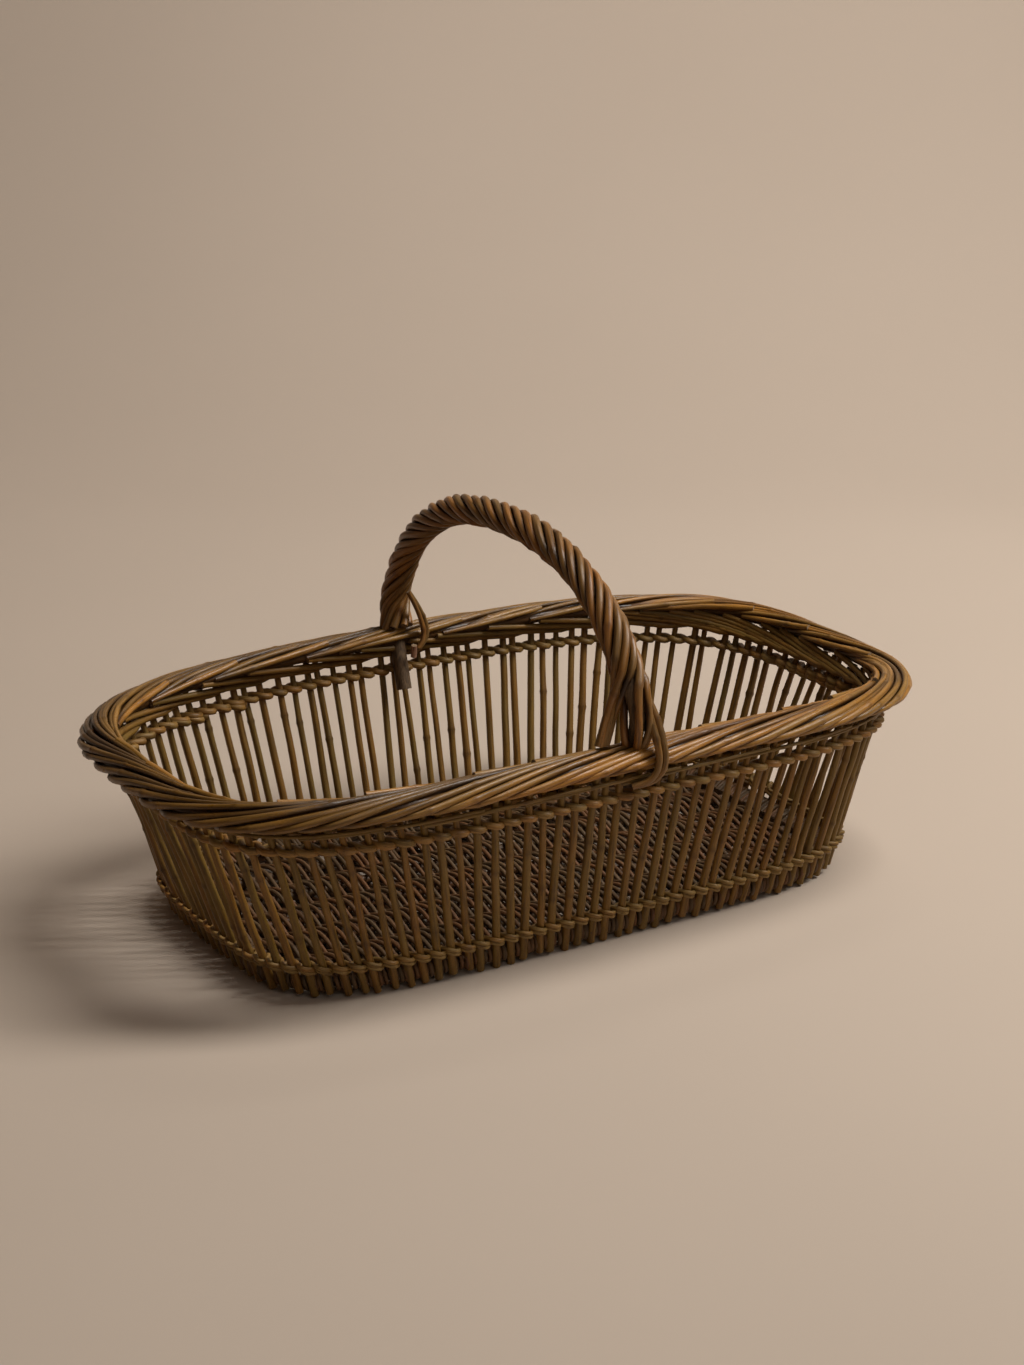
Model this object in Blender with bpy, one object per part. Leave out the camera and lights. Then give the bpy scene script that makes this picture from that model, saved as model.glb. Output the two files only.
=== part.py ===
"""Openwork willow vegetable basket with a fixed bow handle.

Metres, +Z up. The basket stands on z = 0, its long side runs along X, and the handle
crosses it in the plane x = 0. Rings are oblong superellipses, and a share from 0 to 1 runs
once round a ring, counter-clockwise from +X.
"""
import math

import bmesh
import bpy
from mathutils import Vector

# Driving dimensions. The base, whose sticks and weavers set the height of its top
base_hoop_radius = 0.0060
base_stick_count = 5
base_stick_radius = 0.0036
base_weaver_groups = 9
weavers_per_group = 15
base_weaver_thickness = 0.0040
base_weaver_gap = 0.0006
base_weave_space = 0.0006
base_weaver_overhang = 0.0015
base_join_half_length = 0.0010
base_end_space = 0.0040
base_end_clearance = 0.0006

# The wall, flared between its lower and upper fitch rows
lower_row_half_length = 0.2549
lower_row_half_width = 0.1389
lower_row_squareness = 4.5
lower_row_gap = 0.0056
upper_row_half_length = 0.2864
upper_row_half_width = 0.1690
upper_row_squareness = 3.45
row_rod_radius = 0.0026
row_clearance = 0.0006
chord_tolerance = 0.0003
window_height = 0.0082
rim_dip = 0.0082

# The stakes, joined in groups at their bent-over tops
stake_group_count = 24
stakes_per_group = 5
stake_radius = 0.00275
stake_sides = 6
stake_lean = 0.0080
top_rail_radius = 0.00275
neck_length = 0.0030
group_clearance = 0.0006

# The rolled border, whose middle line lies outside the upper row at the ends and inside it at the sides
border_height = 0.1515
border_end_overhang = 0.0161
border_side_inset = 0.0019
border_squareness = 3.5
border_half_thickness = 0.0175
border_rise = 0.0140
border_drop = 0.0080
border_strands = 8
border_turns = 3
border_stations = 60
border_groove = 0.0024

# The bow handle and what ties it to the border
bow_side_offset = 0.0072
bow_rise = 0.1375
bow_roundness = 2.22
bow_start_rise = 0.0335
bow_points = 15
core_radius = 0.0058
core_foot_drop = 0.0124
core_foot_seat = 0.0006
core_foot_lean = 0.0045
core_lean_rise = 0.0550
wrap_count = 8
wrap_lead = 0.114
wrap_points_per_turn = 8
wrap_crowding_share = 0.93
wrap_tilt_share = 0.45
lashing_radius = 0.0025
lashing_tail = 0.0060
lashing_start_rise = 0.0435
lashing_start_offset = 0.0010
lashing_gap = 0.0010
peg_radius = 0.0026
peg_length = 0.0135
peg_foot_drop = 0.0115

clearance = 0.0003
cut_clearance = 0.0004

# Sizes and places that follow from the driving ones
base_lift = base_stick_radius + base_weave_space + base_weaver_thickness / 2
base_height = base_lift + base_weaver_thickness / 2
base_top = 2 * base_height
lower_row_height = base_top + lower_row_gap + row_rod_radius
top_rail_height = border_height - border_drop - clearance - max(top_rail_radius, row_rod_radius)
upper_row_height = top_rail_height - max(top_rail_radius, row_rod_radius) - window_height - row_rod_radius
stake_count = stake_group_count * stakes_per_group
border_half_length = upper_row_half_length + border_end_overhang
border_half_width = upper_row_half_width - border_side_inset
bow_half_span = border_half_width + bow_side_offset
core_foot_height = upper_row_height - core_foot_drop


def fitted_wrap_radius():
    """The thickest rods that lie side by side round the core at their lay."""
    radius = core_radius / 2
    for _ in range(12):
        reach = core_radius + clearance + radius
        lay = math.atan(math.tau * reach / wrap_lead)
        radius = reach * math.sin(math.pi / wrap_count) * math.cos(lay) * wrap_crowding_share
    return radius


wrap_radius = fitted_wrap_radius()
wrap_reach = (core_radius + clearance + wrap_radius) / math.cos(math.pi / wrap_points_per_turn) + clearance
handle_radius = core_radius + 2 * wrap_radius
wrap_foot_height = border_height + border_rise + handle_radius * wrap_tilt_share + clearance
peg_offset = core_radius + clearance + peg_radius - core_foot_lean
lashing_step = 2 * lashing_radius + clearance
front_lashing_offset = core_foot_lean + core_radius + lashing_gap + lashing_radius
back_lashing_offset = peg_offset + peg_radius + lashing_gap + lashing_radius

TABLE_STEPS = 1440


def clear_scene():
    for item in list(bpy.data.objects):
        bpy.data.objects.remove(item, do_unlink=True)


def make_material(name, colour, roughness):
    material = bpy.data.materials.new(name)
    material.use_nodes = True
    shader = material.node_tree.nodes["Principled BSDF"]
    shader.inputs["Base Color"].default_value = (*colour, 1.0)
    shader.inputs["Roughness"].default_value = roughness
    shader.inputs["Metallic"].default_value = 0.0
    return material


def signed_power(value, exponent):
    return math.copysign(abs(value) ** exponent, value)


class Oblong:
    """A superellipse that is read by the share of its length."""

    def __init__(self, half_length, half_width, squareness):
        power = 2 / squareness
        turns = [math.tau * step / TABLE_STEPS for step in range(TABLE_STEPS + 1)]
        self.points = [Vector((half_length * signed_power(math.cos(turn), power),
                               half_width * signed_power(math.sin(turn), power))) for turn in turns]
        self.lengths = [0.0]
        for before, after in zip(self.points, self.points[1:]):
            self.lengths.append(self.lengths[-1] + (after - before).length)
        self.length = self.lengths[-1]

    def at(self, share):
        target = (share % 1.0) * self.length
        low, high = 0, TABLE_STEPS
        while high - low > 1:
            middle = (low + high) // 2
            if self.lengths[middle] <= target:
                low = middle
            else:
                high = middle
        part = (target - self.lengths[low]) / (self.lengths[high] - self.lengths[low])
        return self.points[low].lerp(self.points[high], part)

    def outward(self, share):
        step_share = 1 / TABLE_STEPS
        along = self.at(share + step_share) - self.at(share - step_share)
        return Vector((along.y, -along.x)).normalized()


lower_ring = Oblong(lower_row_half_length, lower_row_half_width, lower_row_squareness)
upper_ring = Oblong(upper_row_half_length, upper_row_half_width, upper_row_squareness)
border_ring = Oblong(border_half_length, border_half_width, border_squareness)

wall_height = upper_row_height - lower_row_height
wall_flare = (upper_row_half_width - lower_row_half_width) / wall_height
flare_stretch = math.sqrt(1 + wall_flare ** 2)
lean_share = stake_lean / upper_ring.length


def level(height):
    """0 at the lower row, 1 at the upper row."""
    return (height - lower_row_height) / wall_height


def dip(x, rise_share):
    return -rim_dip * (x / border_half_length) ** 2 * max(rise_share, 0)


def wall_point(lower_share, upper_share, height, offset):
    """A point on the wall's middle line, moved outward by offset."""
    rise_share = level(height)
    flat = lower_ring.at(lower_share).lerp(upper_ring.at(upper_share), rise_share)
    outward = lower_ring.outward(lower_share).lerp(upper_ring.outward(upper_share), min(max(rise_share, 0), 1))
    flat = flat + outward.normalized() * offset
    return Vector((flat.x, flat.y, height + dip(flat.x, rise_share)))


def thinned(points):
    """Drop the points that a straight run between others passes within the tolerance."""
    kept = [points[0]]
    start = 0
    while start < len(points) - 1:
        end = start + 1
        while end + 1 < len(points) and run_fits(points, start, end + 1):
            end += 1
        kept.append(points[end])
        start = end
    return kept


def run_fits(points, start, end):
    chord = points[end] - points[start]
    for point in points[start + 1:end]:
        reach = point - points[start]
        away = reach - chord * (reach.dot(chord) / chord.length_squared)
        if away.length > chord_tolerance:
            return False
    return True


def wall_ring(height, offset, leaning):
    shift = lean_share if leaning else 0
    shares = [step / stake_count for step in range(stake_count + 1)]
    points = [wall_point(share - shift, share - shift, height, offset) for share in shares]
    return thinned(points)[:-1]


def rod(name, points, radius, material, closed=False, resolution=0):
    """A round rod along points, as a bevelled curve with filled ends."""
    curve = bpy.data.curves.new(name, "CURVE")
    curve.dimensions = "3D"
    curve.bevel_depth = radius
    curve.bevel_resolution = resolution
    curve.use_fill_caps = not closed
    curve.twist_mode = "Z_UP" if closed else "MINIMUM"
    spline = curve.splines.new("POLY")
    spline.points.add(len(points) - 1)
    for place, point in zip(spline.points, points):
        place.co = (*point, 1.0)
    spline.use_cyclic_u = closed
    curve.materials.append(material)
    item = bpy.data.objects.new(name, curve)
    bpy.context.collection.objects.link(item)
    return item


def mesh_object(name, mesh_data, material):
    bmesh.ops.recalc_face_normals(mesh_data, faces=mesh_data.faces)
    mesh = bpy.data.meshes.new(name)
    mesh_data.to_mesh(mesh)
    mesh_data.free()
    mesh.shade_smooth()
    mesh.set_sharp_from_angle(angle=math.radians(35))
    mesh.materials.append(material)
    item = bpy.data.objects.new(name, mesh)
    bpy.context.collection.objects.link(item)
    return item


def ring_of(mesh_data, centre, along, outward, radius, height=None):
    """A ring of vertices, counted from along towards outward, flat where a height is given."""
    found = []
    for side in range(stake_sides):
        turn = math.tau * side / stake_sides
        point = centre + along * (radius * math.cos(turn)) + outward * (radius * math.sin(turn))
        if height is not None:
            point.z = height
        found.append(mesh_data.verts.new(point))
    return found


def rail_station(mesh_data, share):
    """Four corners of the top rail: high and low outside, low and high inside."""
    share = share - lean_share
    corners = []
    for side, rise in ((1, 1), (1, -1), (-1, -1), (-1, 1)):
        point = wall_point(share, share, top_rail_height, side * top_rail_radius)
        point.z += rise * top_rail_radius
        corners.append(mesh_data.verts.new(point))
    return corners


def stake_below(mesh_data, before, after, share):
    """One stake, drawn down from the gap between two rail stations."""
    top = wall_point(share - lean_share, share - lean_share, top_rail_height, 0)
    foot = wall_point(share, share - lean_share, 0, 0)
    axis = (foot - top).normalized()
    flat = upper_ring.outward(share - lean_share)
    outward = Vector((flat.x, flat.y, 0))
    along = axis.cross(outward).normalized() * -1
    if along.dot(after[1].co - before[1].co) < 0:
        along = -along
    neck = top + axis * ((top_rail_radius + neck_length) / -axis.z)
    upper = ring_of(mesh_data, neck, along, outward, stake_radius)
    lower = ring_of(mesh_data, foot, along, outward, stake_radius, 0)
    corners = (after[1], before[1], before[2], after[2])
    links = ((0, 1, (2, 1)), (1, None, (3, 2)), (1, 2, (3,)), (2, None, (4, 3)),
             (2, 3, (5, 4)), (3, None, (0, 5)), (3, 0, (0,)), (0, None, (1, 0)))
    for first, second, ring in links:
        face = [corners[first]]
        if second is not None:
            face.append(corners[second])
        face.extend(upper[place] for place in ring)
        mesh_data.faces.new(face)
    for place in range(stake_sides):
        after_place = (place + 1) % stake_sides
        mesh_data.faces.new((upper[place], upper[after_place], lower[after_place], lower[place]))
    mesh_data.faces.new(lower)


def make_stake_group(number, material):
    """Stakes that stand side by side, one body through their bent-over tops."""
    first = number * stakes_per_group
    half_share = stake_radius / upper_ring.length
    end_share = (0.5 / stake_count) - group_clearance / 2 / upper_ring.length
    shares = [(first / stake_count - end_share, False)]
    for place in range(first, first + stakes_per_group):
        shares.append((place / stake_count - half_share, True))
        shares.append((place / stake_count + half_share, False))
    shares.append(((first + stakes_per_group - 1) / stake_count + end_share, None))
    mesh_data = bmesh.new()
    stations = [rail_station(mesh_data, share) for share, _ in shares]
    for (share, holds_stake), before, after in zip(shares, stations, stations[1:]):
        sides = (0, 2, 3) if holds_stake else (0, 1, 2, 3)
        for side in sides:
            after_side = (side + 1) % 4
            mesh_data.faces.new((before[side], before[after_side], after[after_side], after[side]))
        if holds_stake:
            stake_below(mesh_data, before, after, share + half_share)
    mesh_data.faces.new(stations[0])
    mesh_data.faces.new(stations[-1])
    return mesh_object(f"stakes_{number + 1:02d}", mesh_data, material)


def make_stakes(material):
    for number in range(stake_count // stakes_per_group):
        make_stake_group(number, material)


def make_rows(material):
    outer_offset = (stake_radius + row_clearance + row_rod_radius) * flare_stretch
    inner_offset = (stake_radius + clearance + row_rod_radius) * flare_stretch
    for name, height, leaning in (("lower_fitch", lower_row_height, False),
                                  ("upper_fitch", upper_row_height, True),
                                  ("wale", top_rail_height, True)):
        outer, inner = (wall_ring(height, offset, leaning) for offset in (outer_offset, -inner_offset))
        rod(f"{name}_outer", outer, row_rod_radius, material, closed=True)
        rod(f"{name}_inner", inner, row_rod_radius, material, closed=True)


def border_section(share):
    """One section of the border, its strands turned along with the share."""
    flat = border_ring.at(share)
    outward = border_ring.outward(share)
    centre = Vector((flat.x, flat.y, border_height + dip(flat.x, 1)))
    points = []
    for place in range(2 * border_strands):
        turn = math.tau * (place / (2 * border_strands) + border_turns * share)
        groove = border_groove if place % 2 else 0
        across = (border_half_thickness - groove) * math.cos(turn)
        reach = border_rise if math.sin(turn) > 0 else border_drop
        up = (reach - groove) * math.sin(turn)
        points.append(centre + Vector((outward.x * across, outward.y * across, up)))
    return points


def make_border(material, cutter):
    mesh_data = bmesh.new()
    rings = [[mesh_data.verts.new(point) for point in border_section(station / border_stations)]
             for station in range(border_stations)]
    count = 2 * border_strands
    for station, before in enumerate(rings):
        after = rings[(station + 1) % border_stations]
        for place in range(count):
            after_place = (place + 1) % count
            mesh_data.faces.new((before[place], before[after_place], after[after_place], after[place]))
    border = mesh_object("border", mesh_data, material)
    cut = border.modifiers.new("handle_holes", "BOOLEAN")
    cut.operation = "DIFFERENCE"
    cut.solver = "EXACT"
    cut.object = cutter
    return border


hoop_inset = (stake_radius + base_hoop_radius) * flare_stretch + clearance


def crossing(ring, place, fixed_axis, found_axis):
    """The largest found_axis value where a ring crosses fixed_axis = place."""
    best = 0
    for before, after in zip(ring, ring[1:] + ring[:1]):
        low, high = before[fixed_axis] - place, after[fixed_axis] - place
        if low * high <= 0 and low != high:
            part = low / (low - high)
            best = max(best, before[found_axis] + part * (after[found_axis] - before[found_axis]))
    return best


def make_base_frame(material):
    """The hoop and the lengthwise sticks inside it. Returns the room inside, and where each stick lies."""
    hoop = wall_ring(base_height, -hoop_inset, False)
    rod("base_hoop", hoop, base_hoop_radius, material, closed=True, resolution=1)
    room = wall_ring(base_height, -hoop_inset - base_hoop_radius - base_end_clearance, False)
    half_width = max(point.y for point in hoop)
    spacing = 2 * half_width / (base_stick_count + 1)
    sticks = []
    for number in range(base_stick_count):
        place = -half_width + spacing * (number + 1)
        reach = crossing(room, abs(place) + base_stick_radius, 1, 0)
        ends = [Vector((-reach, place, base_height)), Vector((reach, place, base_height))]
        rod(f"base_stick_{number + 1}", ends, base_stick_radius, material, resolution=1)
        sticks.append((place, reach))
    return room, sticks, spacing


def weaver_line(room, sticks, spacing, near_x, far_x, starts_over):
    """A weaver over one stick and under the next, as (y, height) pairs, and its join's place among them.

    It lies flat on the middle stick, or under it where it stands on the ground."""
    end = crossing(room, far_x, 0, 1)
    crossed = []
    for number, (place, reach) in enumerate(sticks):
        if abs(place) + base_stick_radius + base_weaver_overhang <= end:
            side = 1 if (number % 2 == 0) == starts_over else -1
            crossed.append((place, side * base_lift))
        elif reach > near_x - base_weaver_gap:
            end = min(end, abs(place) - base_stick_radius - base_end_clearance)
    middle = spacing / 2
    rests = [(place + side * base_stick_radius, rise) for place, rise in crossed for side in (-1, 1)
             if abs(place) < base_stick_radius]
    crossed = sorted([pair for pair in crossed if abs(pair[0]) > base_stick_radius] + rests)
    front = [pair for pair in crossed if pair[0] < middle]
    back = [pair for pair in crossed if pair[0] > middle]
    join = [(middle - base_join_half_length, 0), (middle + base_join_half_length, 0)]
    line = [beyond(front[0], -end, spacing)] + front + join + back + [beyond(back[-1], end, spacing)]
    return [(y, base_height + rise) for y, rise in line], len(front) + 1


def beyond(last, y, spacing):
    """Where a weaver that keeps its slope past its last stick comes to its end."""
    place, rise = last
    return y, rise * (1 - 2 * abs(y - place) / spacing)


def make_base_weavers(room, sticks, spacing, material):
    """Groups of weavers side by side, one body through small joins where they pass at one height."""
    half_span = max(point.x for point in room) - base_end_space
    pitch = 2 * half_span / (base_weaver_groups * weavers_per_group)
    for group in range(base_weaver_groups):
        mesh_data = bmesh.new()
        joins = []
        for place in range(weavers_per_group):
            number = group * weavers_per_group + place
            left = -half_span + pitch * number + base_weaver_gap / 2
            right = left + pitch - base_weaver_gap
            near_x, far_x = sorted((abs(left), abs(right)))
            line, join = weaver_line(room, sticks, spacing, near_x, far_x, number % 2 == 0)
            stations = [weaver_station(mesh_data, left, right, y, height) for y, height in line]
            open_sides = {1, 3}
            if place == 0:
                open_sides.discard(3)
            if place == weavers_per_group - 1:
                open_sides.discard(1)
            for step, (before, after) in enumerate(zip(stations, stations[1:])):
                for side in range(4):
                    if step != join or side not in open_sides:
                        after_side = (side + 1) % 4
                        mesh_data.faces.new((before[side], before[after_side], after[after_side], after[side]))
            mesh_data.faces.new(stations[0])
            mesh_data.faces.new(stations[-1])
            joins.append((stations[join], stations[join + 1]))
        for first, second in zip(joins, joins[1:]):
            close_join(mesh_data, first, second)
        mesh_object(f"base_weaver_{group + 1}", mesh_data, material)


def weaver_station(mesh_data, left, right, y, height):
    """Four corners of a weaver: low left, low right, high right, high left."""
    corners = ((left, -1), (right, -1), (right, 1), (left, 1))
    return [mesh_data.verts.new((x, y, height + side * base_weaver_thickness / 2)) for x, side in corners]


def close_join(mesh_data, first, second):
    """The four faces of the bar between two neighbours at their join."""
    front, back = ((ours[1], theirs[0], theirs[3], ours[2]) for ours, theirs in zip(first, second))
    mesh_data.faces.new(front)
    mesh_data.faces.new(back)
    mesh_data.faces.new((front[0], front[1], back[1], back[0]))
    mesh_data.faces.new((front[2], front[3], back[3], back[2]))


def bow_point(turn):
    power = 2 / bow_roundness
    return Vector((0, bow_half_span * signed_power(math.cos(turn), power),
                   border_height + bow_rise * abs(math.sin(turn)) ** power))


def core_lean(height):
    """How far the core's foot stands aside of the bow's plane, growing down to the top rail."""
    top = border_height + core_lean_rise
    return core_foot_lean * min(max((top - height) / (top - top_rail_height), 0), 1)


def core_leg():
    """The back leg of the bow core, from its cut foot up to where the bow starts."""
    inset = (stake_radius + clearance + 2 * row_rod_radius) * flare_stretch + core_foot_seat
    heights = (core_foot_height, upper_row_height, top_rail_height)
    leg = [wall_point(0.25, 0.25, height, -inset - core_radius * flare_stretch) for height in heights]
    start = math.asin((bow_start_rise / bow_rise) ** (bow_roundness / 2))
    first = bow_point(start)
    middle = leg[-1].lerp(first, 0.5)
    return leg + [middle], start


def core_path():
    """The whole core, its back foot leaning to -X and its front foot to +X."""
    leg, start = core_leg()
    bow = []
    for number in range(bow_points):
        bow.append(bow_point(start + (math.pi - 2 * start) * number / (bow_points - 1)))
    front = [Vector((point.x, -point.y, point.z)) for point in reversed(leg)]
    path = leg + bow + front
    for point in path:
        point.x = math.copysign(core_lean(point.z), -point.y)
    return path


def smooth_path(points, steps):
    """Points of a smooth curve through the given ones."""
    found = []
    padded = [2 * points[0] - points[1]] + points + [2 * points[-1] - points[-2]]
    for number in range(len(points) - 1):
        before, first, second, after = padded[number:number + 4]
        for step in range(steps):
            part = step / steps
            found.append(0.5 * (2 * first + (second - before) * part
                                + (2 * before - 5 * first + 4 * second - after) * part ** 2
                                + (3 * first - before - 3 * second + after) * part ** 3))
    found.append(points[-1])
    return found


def make_core(material):
    """The bow core, and the wider copy that cuts its holes in the border."""
    path = core_path()
    rod("handle_core", path, core_radius, material, resolution=2)
    guide = rod("handle_hole_guide", path, core_radius + cut_clearance, material, resolution=2)
    mesh = bpy.data.meshes.new_from_object(guide.evaluated_get(bpy.context.evaluated_depsgraph_get()))
    bpy.data.objects.remove(guide, do_unlink=True)
    cutter = bpy.data.objects.new("handle_hole_cutter", mesh)
    bpy.context.collection.objects.link(cutter)
    cutter.hide_render = True
    cutter.display_type = "WIRE"
    return path, cutter


def make_wraps(path, material):
    """Eight rods twisted round the core between the two feet."""
    fine = [point for point in smooth_path(path, 8) if point.z >= wrap_foot_height]
    lengths = [0.0]
    for before, after in zip(fine, fine[1:]):
        lengths.append(lengths[-1] + (after - before).length)
    steps = math.ceil(lengths[-1] / wrap_lead * wrap_points_per_turn)
    for number in range(wrap_count):
        points = []
        for step in range(steps + 1):
            distance = lengths[-1] * step / steps
            place = max(index for index, length in enumerate(lengths[:-1]) if length <= distance)
            run = fine[place + 1] - fine[place]
            centre = fine[place] + run * ((distance - lengths[place]) / run.length)
            ahead = (fine[min(place + 2, len(fine) - 1)] - fine[max(place - 1, 0)]).normalized()
            side = Vector((-1, 0, 0))
            out = side.cross(ahead).normalized()
            turn = math.tau * (distance / wrap_lead + number / wrap_count)
            points.append(centre + (out * math.cos(turn) + side * math.sin(turn)) * wrap_reach)
        rod(f"handle_wrap_{number + 1}", points, wrap_radius, material)


def around_border(turn_degrees, side, x):
    """A point beside the border, a lashing's radius away from it."""
    turn = math.radians(turn_degrees)
    gap = lashing_radius + clearance + chord_tolerance
    return Vector((x, side * (border_half_width + (border_half_thickness + gap) * math.cos(turn)),
                   border_height + (border_rise + gap) * math.sin(turn)))


def around_wale(wale, turn_degrees, x):
    """A point beside the front wale rod, a lashing's radius away from it."""
    turn = math.radians(turn_degrees)
    gap = (row_rod_radius + lashing_radius + clearance) / math.cos(math.pi / 8) + chord_tolerance
    return Vector((x, wale.y - gap * math.cos(turn), wale.z + gap * math.sin(turn)))


def lashing_start(side, number):
    """Where a lashing leaves the turned rods: in front of the front foot, or inside the back one."""
    centre = bow_point(math.asin((lashing_start_rise / bow_rise) ** (bow_roundness / 2)))
    reach = wrap_reach + wrap_radius + clearance + lashing_radius / math.cos(math.pi / 8)
    return Vector((lashing_start_offset + number * lashing_step, side * centre.y - reach, centre.z))


def make_lashings(material):
    """Rods from the wrapping that loop over the border at both feet."""
    wale = wall_point(0.75, 0.75, top_rail_height, (stake_radius + row_clearance + row_rod_radius) * flare_stretch)
    for number in range(2):
        x = front_lashing_offset + number * lashing_step
        points = [lashing_start(-1, number)] + [around_border(turn, -1, x) for turn in (24, 0, -18)]
        points += [around_wale(wale, turn, x) for turn in (0, -45, -90)]
        rod(f"front_lashing_{number + 1}", points, lashing_radius, material, resolution=1)
    for number in range(2):
        x = back_lashing_offset + number * lashing_step
        points = [lashing_start(1, number)] + [around_border(turn, 1, x) for turn in (126, 150, 175, 195)]
        points.append(points[-1] - Vector((0, 0, lashing_tail)))
        rod(f"back_lashing_{number + 1}", points, lashing_radius, material, resolution=1)


def make_peg(material):
    """A short cut peg inside the back of the border, beside the core."""
    y = border_half_width - border_half_thickness - clearance - peg_radius
    foot = Vector((peg_offset, y, border_height - peg_foot_drop))
    rod("handle_peg", [foot, foot + Vector((0, 0, peg_length))], peg_radius, material, resolution=1)


def main():
    clear_scene()
    stake_bark = make_material("stake_bark", (0.130, 0.085, 0.042), 0.62)
    row_bark = make_material("row_bark", (0.120, 0.074, 0.036), 0.62)
    border_bark = make_material("border_bark", (0.205, 0.124, 0.056), 0.50)
    base_bark = make_material("base_bark", (0.080, 0.043, 0.026), 0.65)
    handle_bark = make_material("handle_bark", (0.150, 0.078, 0.034), 0.52)
    core_wood = make_material("core_wood", (0.160, 0.105, 0.060), 0.70)
    make_stakes(stake_bark)
    make_rows(row_bark)
    room, sticks, spacing = make_base_frame(base_bark)
    make_base_weavers(room, sticks, spacing, base_bark)
    path, cutter = make_core(core_wood)
    make_border(border_bark, cutter)
    make_wraps(path, handle_bark)
    make_lashings(handle_bark)
    make_peg(core_wood)


main()
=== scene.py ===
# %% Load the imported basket
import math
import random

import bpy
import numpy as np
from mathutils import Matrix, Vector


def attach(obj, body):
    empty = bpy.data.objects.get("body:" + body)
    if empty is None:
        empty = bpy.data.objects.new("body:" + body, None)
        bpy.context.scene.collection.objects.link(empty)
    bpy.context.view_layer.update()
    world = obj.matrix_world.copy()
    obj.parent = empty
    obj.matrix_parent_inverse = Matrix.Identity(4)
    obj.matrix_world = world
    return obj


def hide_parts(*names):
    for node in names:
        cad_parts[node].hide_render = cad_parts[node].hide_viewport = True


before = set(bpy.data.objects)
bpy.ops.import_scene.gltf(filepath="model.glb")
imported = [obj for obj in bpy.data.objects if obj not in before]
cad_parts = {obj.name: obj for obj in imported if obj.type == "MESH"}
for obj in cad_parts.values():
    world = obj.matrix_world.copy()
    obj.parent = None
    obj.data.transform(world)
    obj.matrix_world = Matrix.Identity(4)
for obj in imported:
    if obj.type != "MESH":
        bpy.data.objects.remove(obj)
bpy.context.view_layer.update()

# %% [markdown]
# # A willow vegetable basket
# The real basket is made of nothing but willow rods: upright stakes, rods twisted round them
# in rows, a thick rolled border, a woven base, and a bow handle with eight rods turned round it.
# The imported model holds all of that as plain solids. Here each solid is replaced by the rods
# that it stands for. First come the tools that every rod needs. All lengths are in metres.

# %% [markdown]
# ## The rings that the walls follow
# Seen from above, the basket is a rounded oblong, more square at the base than at the rim.
# Arcs and straight lines could draw it, but a superellipse does so with one number for how
# square it is. Stakes stand at even steps along it, so a ring is read by the share of its
# length, from 0 at the right end, +X, round by the back to 1.

# %% Small sums
def clamp(value):
    return min(max(value, 0), 1)


def run_so_far(steps):
    """The length run at each point of a line whose steps have these lengths."""
    return np.concatenate(([0.0], np.cumsum(steps)))


def parts(steps):
    """Even shares from 0 to 1, with both ends."""
    return [step / steps for step in range(steps + 1)]


# %% An oblong ring, read by the share of its length
RING_STEPS = 4000
AHEAD_SHARE = 0.0015


class Ring:
    def __init__(self, half_length, half_width, squareness):
        self.half_length = half_length
        self.half_width = half_width
        turn = np.linspace(0, math.tau, RING_STEPS + 1)
        power = 2 / squareness
        self.x = half_length * np.sign(np.cos(turn)) * np.abs(np.cos(turn)) ** power
        self.y = half_width * np.sign(np.sin(turn)) * np.abs(np.sin(turn)) ** power
        self.along = run_so_far(np.hypot(np.diff(self.x), np.diff(self.y)))
        self.length = self.along[-1]

    def at(self, share):
        place = (share % 1.0) * self.length
        return Vector((np.interp(place, self.along, self.x), np.interp(place, self.along, self.y), 0))

    def outward(self, share):
        run = self.at(share + AHEAD_SHARE) - self.at(share - AHEAD_SHARE)
        return Vector((run.y, -run.x, 0)).normalized()


lower_ring = Ring(half_length=0.2549, half_width=0.1389, squareness=4.5)
upper_ring = Ring(half_length=0.2864, half_width=0.1690, squareness=3.45)
border_ring = Ring(half_length=0.3025, half_width=0.1671, squareness=3.5)
for name, ring in (("lower", lower_ring), ("upper", upper_ring), ("border", border_ring)):
    print(f"{name} ring: {ring.length:.3f} m round")

# %% Heights, and a point on the flared wall
STAKES = 120
LOWER_ROW = 0.0246
UPPER_ROW = 0.1269
BORDER = 0.1515
RIM_DIP = 0.0082


def dip(x, rise):
    """The rim hangs a little lower towards the basket's ends."""
    return -RIM_DIP * (x / border_ring.half_length) ** 2 * max(rise, 0)


def wall_point(low_share, top_share, height, out=0.0):
    """A point on a stake that stands at one share of the lower ring and another of the upper."""
    rise = (height - LOWER_ROW) / (UPPER_ROW - LOWER_ROW)
    place = lower_ring.at(low_share).lerp(upper_ring.at(top_share), rise)
    outward = lower_ring.outward(low_share).lerp(upper_ring.outward(top_share), clamp(rise))
    place += outward.normalized() * out
    place.z = height + dip(place.x, rise)
    return place


flare = upper_ring.half_width - lower_ring.half_width
print(f"wall leans out by {flare * 1000:.1f} mm between the two rows")

# %% [markdown]
# ## How one willow rod is drawn
# A willow rod isn't a pipe. It tapers from butt to tip, swells a little at each bud, and bends
# there by a degree or two. A stretched cylinder would look turned on a lathe, so a rod is a list
# of points with a thickness at each one: the list goes through the guide points in a smooth
# line, and then gets its buds and small bends.

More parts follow.
